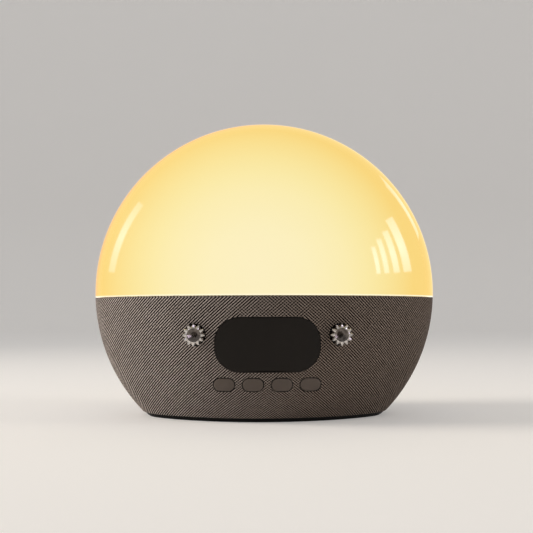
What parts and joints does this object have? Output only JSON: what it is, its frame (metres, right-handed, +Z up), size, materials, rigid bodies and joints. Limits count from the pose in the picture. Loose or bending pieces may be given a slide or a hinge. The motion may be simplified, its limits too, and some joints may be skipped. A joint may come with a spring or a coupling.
{
  "type": "sunrise alarm clock",
  "caption": "Round sunrise alarm clock: an opal light dome on a fabric speaker base with a pill display, toothed knobs and push buttons.",
  "frame": {"origin": "on the table under the middle of the body", "axes": "+Z up, the front with the display faces -Y, +X to the right seen from the front"},
  "size_m": [0.205, 0.124, 0.1767],
  "materials": {
    "opal_acrylic": "opal, glossy, lit amber from inside",
    "white_abs": "fine matt moulding",
    "bare_aluminium": "rolled sheet",
    "white_board": "white solder mask",
    "led_lens": "yellow phosphor lens",
    "grey_abs": "fine matt moulding",
    "woven_fabric": "taupe melange twill",
    "black_abs": "fine matt moulding",
    "black_rubber": "matt",
    "smoked_acrylic": "smooth, near black",
    "display_block": "matt",
    "green_board": "green solder mask",
    "switch_plastic": "moulded",
    "taupe_button": "soft-touch, smooth",
    "die_cast_zinc": "die cast",
    "nylon": "natural nylon",
    "machined_steel": "turned",
    "chrome_plate": "polished plating",
    "board_parts": "moulded cases and a tin shield",
    "inlet_plastic": "moulded",
    "zinc_steel": "zinc plated",
    "speaker_steel": "black painted pressing",
    "ferrite": "sintered",
    "paper_cone": "pressed paper",
    "copper_coil": "enamelled winding",
    "surround_rubber": "moulded",
    "spider_cloth": "resin-dipped cloth",
    "gasket_foam": "closed-cell foam",
    "black_screw": "blackened",
    "white_sleeve": "sleeved wires",
    "black_sleeve": "sleeved wires",
    "red_sleeve": "sleeved wires",
    "ribbon_plastic": "flat ribbon"
  },
  "bodies": {
    "clock": {"dome_diffuser": "opal_acrylic", "reflector_tray": "white_abs", "heat_spreader": "bare_aluminium", "led_board": "white_board", "leds": "led_lens", "base_housing": "grey_abs", "fabric_cover": "woven_fabric", "base_plate": "black_abs", "foot_ring": "black_rubber", "display_window": "smoked_acrylic", "display_baffle": "black_abs", "display_module": "display_block", "control_board": "green_board", "switch_bodies": "switch_plastic", "encoder_bases": "switch_plastic", "encoder_bushings": "die_cast_zinc", "main_board": "green_board", "board_parts": "board_parts", "board_connectors": "nylon", "dc_inlet": "inlet_plastic", "dc_inlet_nut": "zinc_steel", "speaker_basket": "speaker_steel", "speaker_top_plate": "zinc_steel", "speaker_magnet": "ferrite", "speaker_yoke": "zinc_steel", "speaker_surround": "surround_rubber", "speaker_spider": "spider_cloth", "speaker_gasket": "gasket_foam", "dome_screws": "black_screw", "base_screws": "black_screw", "control_board_screws": "black_screw", "main_board_screws": "black_screw", "speaker_screws": "black_screw", "spreader_screws": "black_screw", "led_board_screws": "black_screw", "led_lead": "white_sleeve", "speaker_lead": "black_sleeve", "dc_lead": "red_sleeve", "ribbon_cable": "ribbon_plastic"},
    "button_1": {"button_1": "taupe_button", "switch_stem_1": "switch_plastic"},
    "button_2": {"button_2": "taupe_button", "switch_stem_2": "switch_plastic"},
    "button_3": {"button_3": "taupe_button", "switch_stem_3": "switch_plastic"},
    "button_4": {"button_4": "taupe_button", "switch_stem_4": "switch_plastic"},
    "left_encoder_rotor": {"left_rotor": "nylon"},
    "left_knob": {"left_knob": "chrome_plate", "left_shaft": "machined_steel"},
    "right_encoder_rotor": {"right_rotor": "nylon"},
    "right_knob": {"right_knob": "chrome_plate", "right_shaft": "machined_steel"},
    "speaker_cone": {"speaker_cone": "paper_cone", "voice_coil": "copper_coil", "dust_cap": "paper_cone"}
  },
  "joints": [
    {"name": "button_1_press", "type": "slide", "parent": "clock", "child": "button_1", "axis": [0, 1, 0], "range_m": [0, 0.0005], "stiffness_N_per_m": 2500, "springref_m": -0.0003},
    {"name": "button_2_press", "type": "slide", "parent": "clock", "child": "button_2", "axis": [0, 1, 0], "range_m": [0, 0.0005], "stiffness_N_per_m": 2500, "springref_m": -0.0003},
    {"name": "button_3_press", "type": "slide", "parent": "clock", "child": "button_3", "axis": [0, 1, 0], "range_m": [0, 0.0005], "stiffness_N_per_m": 2500, "springref_m": -0.0003},
    {"name": "button_4_press", "type": "slide", "parent": "clock", "child": "button_4", "axis": [0, 1, 0], "range_m": [0, 0.0005], "stiffness_N_per_m": 2500, "springref_m": -0.0003},
    {"name": "left_knob_turn", "type": "hinge", "parent": "clock", "child": "left_encoder_rotor", "pos_m": [-0.0394, -0.0389, 0.0492], "axis": [0, -1, 0], "continuous": true},
    {"name": "left_knob_press", "type": "slide", "parent": "left_encoder_rotor", "child": "left_knob", "axis": [0, 1, 0], "range_m": [0, 0.0005], "stiffness_N_per_m": 4000, "springref_m": -0.0005},
    {"name": "right_knob_turn", "type": "hinge", "parent": "clock", "child": "right_encoder_rotor", "pos_m": [0.0394, -0.0389, 0.0492], "axis": [0, -1, 0], "continuous": true},
    {"name": "right_knob_press", "type": "slide", "parent": "right_encoder_rotor", "child": "right_knob", "axis": [0, 1, 0], "range_m": [0, 0.0005], "stiffness_N_per_m": 4000, "springref_m": -0.0005},
    {"name": "speaker_cone_stroke", "type": "slide", "parent": "clock", "child": "speaker_cone", "axis": [0, 1, 0], "range_m": [-0.0012, 0.0012], "stiffness_N_per_m": 1500, "deforming": ["speaker_surround", "speaker_spider"]}
  ]
}
